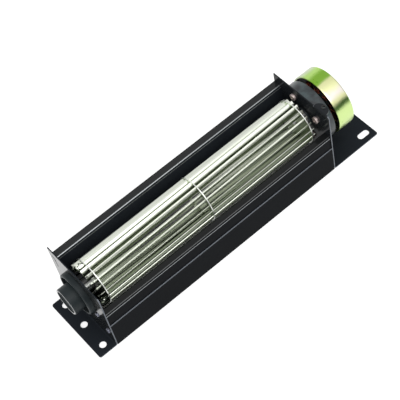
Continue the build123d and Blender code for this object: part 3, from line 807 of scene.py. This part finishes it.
def lamp(name, place, aim, size, power):
    """Large soft area lamp that looks at a point."""
    data = bpy.data.lights.new(name, "AREA")
    data.shape = "RECTANGLE"
    data.size, data.size_y = size
    data.energy = power
    made = bpy.data.objects.new(name, data)
    bpy.context.scene.collection.objects.link(made)
    made.location = place
    made.rotation_mode = "QUATERNION"
    made.rotation_quaternion = (Vector(place) - Vector(aim)).to_track_quat("Z", "Y")
    return made


def camera(studio):
    """Camera at its angle, with the roll and shift that frame the fan."""
    data = bpy.data.cameras.new("camera")
    data.lens = studio.lens
    data.sensor_width = SENSOR
    data.shift_x, data.shift_y = studio.shift
    data.clip_start, data.clip_end = 0.01, 50.0
    made = bpy.data.objects.new("camera", data)
    bpy.context.scene.collection.objects.link(made)
    turn, rise = studio.azimuth, studio.elevation
    back = Vector((
        math.sin(turn) * math.cos(rise), -math.cos(turn) * math.cos(rise), math.sin(rise)))
    side = (-back).cross(Vector((0, 0, 1))).normalized()
    up = side.cross(-back)
    right = math.cos(studio.roll) * side + math.sin(studio.roll) * up
    top = -math.sin(studio.roll) * side + math.cos(studio.roll) * up
    made.matrix_world = Matrix.Translation(Vector(studio.aim) + back * studio.distance) @ Matrix(
        (right, top, back)).transposed().to_4x4()
    bpy.context.scene.camera = made


def white_floor():
    """Floor that the camera sees as white where no shadow falls, and in shade under the housing."""
    bpy.ops.mesh.primitive_plane_add(size=FLOOR_SIZE, location=(0, 0, 0))
    floor = bpy.context.active_object
    floor.name = "floor"
    finish = Finish("studio_floor").set(Roughness=1.0)
    where = finish.place()
    x, y, _ = finish.axes(where)
    finish.drive("Base Color", finish.blend(finish.noise(where, 2.0), grey(0.6), grey(0.62)))
    along = above(x, LEFT_WEB) * (1 - above(x, RIGHT_WEB))
    under = along * above(y, TONGUE_LOW.y) * (1 - above(y, SCROLL_HIGH.y))
    ray = finish.node("ShaderNodeLightPath", {}, {}).outputs
    glow = finish.node("ShaderNodeEmission", {}, {"Color": rgba(grey(1.0)), "Strength": 0.6})
    white = finish.node("ShaderNodeAddShader", {}, {0: finish.shader.outputs[0], 1: glow.outputs[0]})
    seen = Value(finish, ray["Is Camera Ray"]) * (1 - under) + Value(finish, ray["Is Glossy Ray"])
    seen = (seen + Value(finish, ray["Is Transmission Ray"])).limited()
    mix = finish.node("ShaderNodeMixShader", {}, {
        0: seen, 1: finish.shader.outputs[0], 2: white.outputs[0]})
    finish.feed(finish.tree.nodes["Material Output"].inputs["Surface"], mix.outputs[0])
    floor.data.materials.append(finish.material)


# Light tent from the front horizon (0) over the zenith (0.5) to the back horizon (1).
TENT = ((0.0, 0.1), (0.07, 0.14), (0.14, 0.85), (0.2, 1.0),
        (0.46, 1.0), (0.53, 0.8), (0.75, 0.72), (1.0, 0.8))


def world_light():
    """Light tent: dark low in front, bright from there to the zenith, dimmer behind and at the sides."""
    world = bpy.data.worlds.new("studio")
    world.use_nodes = True
    sky = Nodes(world.node_tree)
    x, y, z = sky.axes(sky.node("ShaderNodeTexCoord", {}, {}).outputs["Generated"])
    over = sky.math("ARCTAN2", z, y * -1.0) / math.pi
    tent = sky.ramp(over, [(at, grey(level)) for at, level in TENT])
    side = (x * x * 1.6 - 0.35).limited()
    background = world.node_tree.nodes["Background"]
    sky.feed(background.inputs["Color"], sky.blend(side, tent, grey(SIDE_LIGHT)))
    background.inputs["Strength"].default_value = 1.0
    bpy.context.scene.world = world


class FAN_OT_stage(bpy.types.Operator):
    """Floor, world light, lamp and camera"""

    bl_idname = "fan.stage"
    bl_label = "Build the stage"

    def execute(self, context):
        studio = context.scene.fan_studio
        context.scene.view_settings.view_transform = "Standard"
        world_light()
        white_floor()
        lamp("main_lamp", LAMP_PLACE, LAMP_AIM, LAMP_SIZE, studio.lamp_power)
        camera(studio)
        return {"FINISHED"}


# ---------------------------------------------------------------- the fan's own pieces

CAN_SIDES = 144
CAN_LAND = 0.8 * MM             # flat ring inside the can's rounding
CAN_LIP = 0.35 * MM             # rounding of the mouth's edge
STAKE_BORDER, STAKE_SINK = 0.25 * MM, 0.45 * MM
# Pressed steps of the can's closed end from its rounding inwards: width and rise of each inset, in mm.
CAN_STEPS = ((0.4, -0.3), (7.0, 0.0), (0.4, 0.3), (4.5, 0.0), (0.5, -0.4), (4.0, 0.0), (0.3, 0.3))


def drawn_can(sizes):
    """Deep-drawn rotor can: open mouth, rounded corner, stepped end, staking marks near the mouth."""
    near, far = CAN_LOW.x, CAN_HIGH.x
    can = round_bar("rotor_can_drawn", near, far, CAN_RADIUS, CAN_SIDES)
    open_mesh(can)
    pick(can, flat_at(near, -1))
    inset(sizes.can_wall)
    push(far - sizes.can_wall - near)
    inset(CAN_RADIUS - sizes.can_wall - sizes.can_boss)
    push(-sizes.can_boss_length)
    pick(can, flat_at(far, 1))
    inset(sizes.can_corner + CAN_LAND)
    for width, rise in CAN_STEPS:
        inset(width * MM, rise * MM)
    pick(can, rim_at(far, CAN_RADIUS), "EDGE")
    ease(sizes.can_corner, 6)
    pick(can, rim_at(near, CAN_RADIUS), "EDGE")
    ease(CAN_LIP, 2)
    stake_start = near + sizes.stake_inset
    stake_end = stake_start + sizes.stake_length
    for ring in (stake_start, stake_end):
        bpy.ops.mesh.select_all(action="SELECT")
        bpy.ops.mesh.bisect(plane_co=(ring, AXIS_Y, AXIS_Z), plane_no=(1, 0, 0))

    def stake(face):
        """One facet of the outer wall at each stake's turn."""
        middle = face.calc_center_median()
        turn = math.degrees(math.atan2(middle.z - AXIS_Z, middle.y - AXIS_Y)) % (360 / sizes.stake_count)
        outside = off_axis(middle) > CAN_RADIUS - 0.3 * MM
        return stake_start < middle.x < stake_end and outside and turn < 0.96 * 360 / CAN_SIDES

    pick(can, stake)
    bpy.ops.mesh.inset(thickness=STAKE_BORDER, depth=-STAKE_SINK, use_individual=True)
    bpy.ops.object.mode_set(mode="OBJECT")
    return can


TOOTH_HEAD = 2.3 * MM           # from the stator's rim to the coils
COIL_END_GAP = 0.2 * MM         # coils inside the windings' length
LOOP_CORNER = 1.1 * MM
CORE_SINK = 0.1 * MM            # filled core under the loops of wire
CORE_CORNER = 1.0 * MM


def wound_coils(sizes):
    """Coils of enamelled wire on the stator's teeth, each a stack of rounded loops round a core."""
    low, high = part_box("stator_windings")
    core_low, core_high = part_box("stator_core")
    middle_x = (low.x + high.x) / 2
    outer = (core_high.z - core_low.z) / 2 - TOOTH_HEAD
    inner = outer - sizes.coil_span
    pitch = 2 * sizes.wire_radius
    loop_length = (high.x - low.x) - pitch - COIL_END_GAP
    loop_width = sizes.coil_width - pitch
    first = (middle_x, AXIS_Y + inner + sizes.wire_radius, AXIS_Z)
    bpy.ops.mesh.primitive_plane_add(size=1.0, location=first, rotation=(math.pi / 2, 0, 0))
    loop = sized((loop_length, loop_width, 1))
    open_mesh(loop)
    bpy.ops.mesh.select_all(action="SELECT")
    bpy.ops.mesh.bevel(offset=LOOP_CORNER, segments=3, affect="VERTICES")
    bpy.ops.mesh.select_all(action="SELECT")
    bpy.ops.mesh.delete(type="ONLY_FACE")
    bpy.ops.object.mode_set(mode="OBJECT")
    bpy.ops.object.convert(target="CURVE")
    loop = bpy.context.active_object
    loop.data.bevel_depth = sizes.wire_radius
    loop.data.bevel_resolution = 1
    bpy.ops.object.convert(target="MESH")
    loop = bpy.context.active_object
    applied(loop, "ARRAY", count=int(sizes.coil_span / pitch), use_relative_offset=False,
            use_constant_offset=True, constant_offset_displace=(0, pitch, 0))
    core = box_bar((middle_x, AXIS_Y + (inner + outer) / 2, AXIS_Z),
                   (loop_length - CORE_SINK, sizes.coil_span, loop_width - CORE_SINK))
    open_mesh(core)
    pick(core, edges_along(1), "EDGE")
    ease(CORE_CORNER, 3)
    bpy.ops.object.mode_set(mode="OBJECT")
    coil = joined("coil", [loop, core])
    turns = [2 * math.pi * k / sizes.coil_count for k in range(1, sizes.coil_count)]
    return joined("stator_windings_wound", [coil] + [copied(coil, turn) for turn in turns])


def solid_boxes(node):
    """Corners of the box round each separate solid of a CAD node, found from its loose parts."""
    mesh = bmesh.new()
    mesh.from_mesh(frame["nodes"][node].data)
    bmesh.ops.remove_doubles(mesh, verts=mesh.verts, dist=WELD)
    left = set(mesh.verts)
    found = []
    while left:
        group, waiting = set(), [left.pop()]
        while waiting:
            corner = waiting.pop()
            group.add(corner)
            for edge in corner.link_edges:
                other = edge.other_vert(corner)
                if other in left:
                    left.discard(other)
                    waiting.append(other)
        low = Vector(map(min, zip(*(corner.co for corner in group))))
        high = Vector(map(max, zip(*(corner.co for corner in group))))
        found.append((low, high))
    mesh.free()
    return sorted(found, key=lambda box: tuple(round(c, 5) for c in box[0]))


# Pan head screws: head height, shank radius, and the recess's reach as a share of the head's radius.
HOLDER_SCREW = (1.4 * MM, 1.248 * MM, 0.62)
MOTOR_SCREW = (2.2 * MM, 2.0 * MM, 0.6)
PAN_ROUND = 0.45                # rounding of a pan head, as a share of its height
RECESS_TURN = 0.35              # the cross recess stands a little askew, in radians
RECESS_DEPTH = 0.65             # share of the head's height
RECESS_WIDTH = 0.42             # each arm's width, as a share of the recess's reach
RECESS_TAPER = 0.55             # width at the bottom, as a share of the width at the top


def pan_screw(head, head_height, shank, shank_length, seat_x, place, recess):
    """Pan head screw along X with a cross recess; its head lies on the negative side of seat_x."""
    top = seat_x - head_height
    screw = round_bar("pan_screw", top, seat_x, head, 40, place)
    open_mesh(screw)
    pick(screw, flat_at(seat_x, 1))
    inset(head - shank)
    push(shank_length)
    pick(screw, rim_at(top, head, place), "EDGE")
    ease(PAN_ROUND * head_height, 5)
    bpy.ops.object.mode_set(mode="OBJECT")
    for turn in (0.0, math.pi / 2):
        blade = box_bar((top, *place), (2 * RECESS_DEPTH * head_height, 2 * recess, RECESS_WIDTH * recess),
                        (turn + RECESS_TURN, 0, 0))
        open_mesh(blade)
        pick(blade, lambda face: face.normal.x > SQUARE)
        bpy.ops.transform.resize(value=(1, RECESS_TAPER, RECESS_TAPER), center_override=(seat_x, *place))
        bpy.ops.object.mode_set(mode="OBJECT")
        cut_away(screw, blade)
    return screw


def pan_screws(name, node, kind):
    """A pan head screw of one kind for each solid of a CAD node, joined."""
    head_height, shank, recess_share = kind
    screws = []
    for low, high in solid_boxes(node):
        head = (high.y - low.y) / 2
        place = ((low.y + high.y) / 2, (low.z + high.z) / 2)
        seat_x = low.x + head_height
        screws.append(pan_screw(
            head, head_height, shank, high.x - seat_x, seat_x, place, recess_share * head))
    return joined(name, screws)


RIVET_SIDES = 32
RIVET_DOME = 0.62 * MM          # rounding of the head
RIVET_ROLL = 0.5 * MM           # rounding of the drawn tail
RIVET_WALL = 0.35 * MM
MANDREL_SINK = 0.35 * MM        # depth of the dimple that the mandrel leaves


def blind_rivet(low, high):
    """Blind rivet: domed head with the broken mandrel's dimple, and the drawn tail behind the sheets."""
    outward = -1 if low.x < 0 else 1
    centre = ((low.y + high.y) / 2, (low.z + high.z) / 2)
    radius = (high.y - low.y) / 2
    head, tail = (low.x, high.x) if outward < 0 else (high.x, low.x)
    rivet = round_bar("rivet", low.x, high.x, radius, RIVET_SIDES, centre)
    open_mesh(rivet)
    pick(rivet, flat_at(tail, -outward))
    inset(RIVET_WALL)
    pick(rivet, flat_at(head, outward))
    inset(0.3 * radius)
    pick(rivet, rim_at(head, radius, centre), "EDGE")
    ease(RIVET_DOME, 5)
    on_head = flat_at(head, outward)
    pick(rivet, lambda face: on_head(face) and len(face.verts) == RIVET_SIDES)
    inset(0.45 * radius, -MANDREL_SINK)
    pick(rivet, rim_at(tail, radius, centre), "EDGE")
    ease(RIVET_ROLL, 3)
    bpy.ops.object.mode_set(mode="OBJECT")
    return rivet


SLOT_SIZE = (1.4 * MM, 2.2 * MM, 7.6 * MM)      # twice its depth, its width and its length
SLOT_LEAN = 0.56                                # its top lies towards the back, in radians
SLOT_PLACE = (CAD_HIGH.y - 6.4 * MM, SCROLL_HIGH.z + 0.5 * MM)


def punched_plate(node, web, edge, enamel):
    """End plate with a painted highlight on its front cut edges, and a leaning slot beside the rear flange.
    """
    def rework(plate):
        mark_edge_highlight(plate, lambda face: face.normal.y < -0.4)
        punch = box_bar((web, *SLOT_PLACE), SLOT_SIZE, (-SLOT_LEAN, 0, 0))
        open_mesh(punch)
        pick(punch, edges_along(0), "EDGE")
        ease(0.45 * SLOT_SIZE[1], 3)
        bpy.ops.object.mode_set(mode="OBJECT")
        cut_away(plate, punch)

    eased(node, edge, enamel, rework=rework)


class FAN_OT_housing(bpy.types.Operator):
    """Paint on the folded sheets, and the rivets that hold them"""

    bl_idname = "fan.housing"
    bl_label = "Finish the housing"

    def execute(self, context):
        colours = context.scene.fan_colours
        edge = context.scene.fan_sizes.edge

        def flange_coat(x, y, z):
            return 0.6 * above(z, SCROLL_HIGH.z - TOP_BAND)

        def lip_coat(x, y, z):
            front = 1 - above(y, TONGUE_HIGH.y - 1.5 * MM)
            return 0.42 * above(z, TONGUE_HIGH.z - TOP_BAND) * front

        def panel_coat(x, y, z):
            return 0.1 * above(z, PANEL_TOP - TOP_BAND)

        def bearing_coat(x, y, z):
            outer = 1 - above(x, LEFT_WEB + 0.1 * MM, 0.05 * MM)
            return 0.8 * above(z, FOOT_TOP) * outer

        def motor_coat(x, y, z):
            return 0.3 * above(z, FOOT_TOP)

        # The shade numbers paint light and shade: the same enamel lighter on the scroll and the end plates,
        # darker on the tongue and the panel.
        eased("rear_scroll", edge, gloss_black("scroll_enamel", colours, 1.6, flange_coat, SCROLL_FOLDS))
        eased("front_tongue", edge, gloss_black("tongue_enamel", colours, 0.6, lip_coat, TONGUE_FOLDS))
        panel = eased("front_lower_panel", edge, gloss_black("panel_enamel", colours, 0.6, panel_coat))
        # Painted highlight on the panel's top cut edge.
        mark_edge_highlight(panel, lambda face: face.normal.z > 0.8 and face.center.z > PANEL_TOP - TOP_BAND)
        punched_plate("left_end_plate", LEFT_WEB, edge,
                      gloss_black("bearing_plate_enamel", colours, 1.8, bearing_coat))
        punched_plate("right_end_plate", RIGHT_WEB, edge,
                      gloss_black("motor_plate_enamel", colours, 1.6, motor_coat))
        rivets = [blind_rivet(low, high) for low, high in solid_boxes("plate_rivets")]
        fitted(joined("plate_rivets_domed", rivets), "plate_rivets", plain_metal("rivet_steel"))
        eased("lead_grommet", 0.15 * MM, matt_rubber())
        return {"FINISHED"}


class FAN_OT_impeller(bpy.types.Operator):
    """Blades, discs, hub and shafts of the impeller"""

    bl_idname = "fan.impeller"
    bl_label = "Finish the impeller"

    def execute(self, context):
        colours = context.scene.fan_colours
        dress(BLADES, bright_blade(colours))
        dress(DISCS, disc_sheet(colours))
        dress(("impeller_hub", "hub_grub_screw", "stub_shaft", "motor_shaft"), plain_metal("ground_steel"))
        return {"FINISHED"}


class FAN_OT_bearing_end(bpy.types.Operator):
    """Moulded bearing holder, its cap, screws and the bearing inside"""

    bl_idname = "fan.bearing_end"
    bl_label = "Finish the bearing end"

    def execute(self, context):
        sizes = context.scene.fan_sizes
        plastic = moulded_plastic(context.scene.fan_colours)
        for node in ("bearing_holder", "bearing_cap"):
            eased(node, sizes.mould_edge, plastic, 3)
        screws = pan_screws("holder_screws_cut", "holder_screws", HOLDER_SCREW)
        fitted(screws, "holder_screws", plain_metal("screw_zinc"))
        dress(("rubber_bush",), matt_rubber())
        dress(("sleeve_bearing",), plain_metal("sintered_bronze"))
        return {"FINISHED"}


class FAN_OT_motor(bpy.types.Operator):
    """Motor body, windings, rotor can and the screws that hold the motor"""

    bl_idname = "fan.motor"
    bl_label = "Finish the motor"

    def execute(self, context):
        colours = context.scene.fan_colours
        sizes = context.scene.fan_sizes
        eased("motor_body", sizes.mould_edge, slate_casting(colours), 3)
        fitted(drawn_can(sizes), "rotor_can", yellow_zinc(colours))
        fitted(wound_coils(sizes), "stator_windings", enamelled_copper())
        dress(("stator_core",), dark_mineral("laminations", 0.05))
        dress(("magnet_ring",), dark_mineral("ferrite", 0.02))
        screws = pan_screws("motor_screws_cut", "motor_screws", MOTOR_SCREW)
        fitted(screws, "motor_screws", plain_metal("motor_screw_zinc"))
        dress(("motor_bearing_inner", "motor_bearing_outer"), plain_metal("bearing_steel"))
        return {"FINISHED"}


class FAN_PT_sidebar(bpy.types.Panel):
    """Lists the steps and the settings in the 3D view's sidebar"""

    bl_idname = "FAN_PT_sidebar"
    bl_label = "Cross flow fan"
    bl_space_type = "VIEW_3D"
    bl_region_type = "UI"
    bl_category = "Fan"

    def draw(self, context):
        for step in STEPS:
            self.layout.operator(step)
        for group in (context.scene.fan_colours, context.scene.fan_sizes, context.scene.fan_studio):
            for name in group.__annotations__:
                self.layout.prop(group, name)


CLASSES = (FanColours, FanSizes, FanStudio, FAN_OT_stage, FAN_OT_housing, FAN_OT_impeller,
           FAN_OT_bearing_end, FAN_OT_motor, FAN_PT_sidebar)
STEPS = ("fan.stage", "fan.housing", "fan.impeller", "fan.bearing_end", "fan.motor")


def register():
    for cls in CLASSES:
        bpy.utils.register_class(cls)
    bpy.types.Scene.fan_colours = bpy.props.PointerProperty(type=FanColours)
    bpy.types.Scene.fan_sizes = bpy.props.PointerProperty(type=FanSizes)
    bpy.types.Scene.fan_studio = bpy.props.PointerProperty(type=FanStudio)


def unregister():
    del bpy.types.Scene.fan_studio
    del bpy.types.Scene.fan_sizes
    del bpy.types.Scene.fan_colours
    for cls in reversed(CLASSES):
        bpy.utils.unregister_class(cls)


def main():
    register()
    bpy.ops.fan.stage()
    bpy.ops.fan.housing()
    bpy.ops.fan.impeller()
    bpy.ops.fan.bearing_end()
    bpy.ops.fan.motor()


if __name__ == "__main__":
    main()
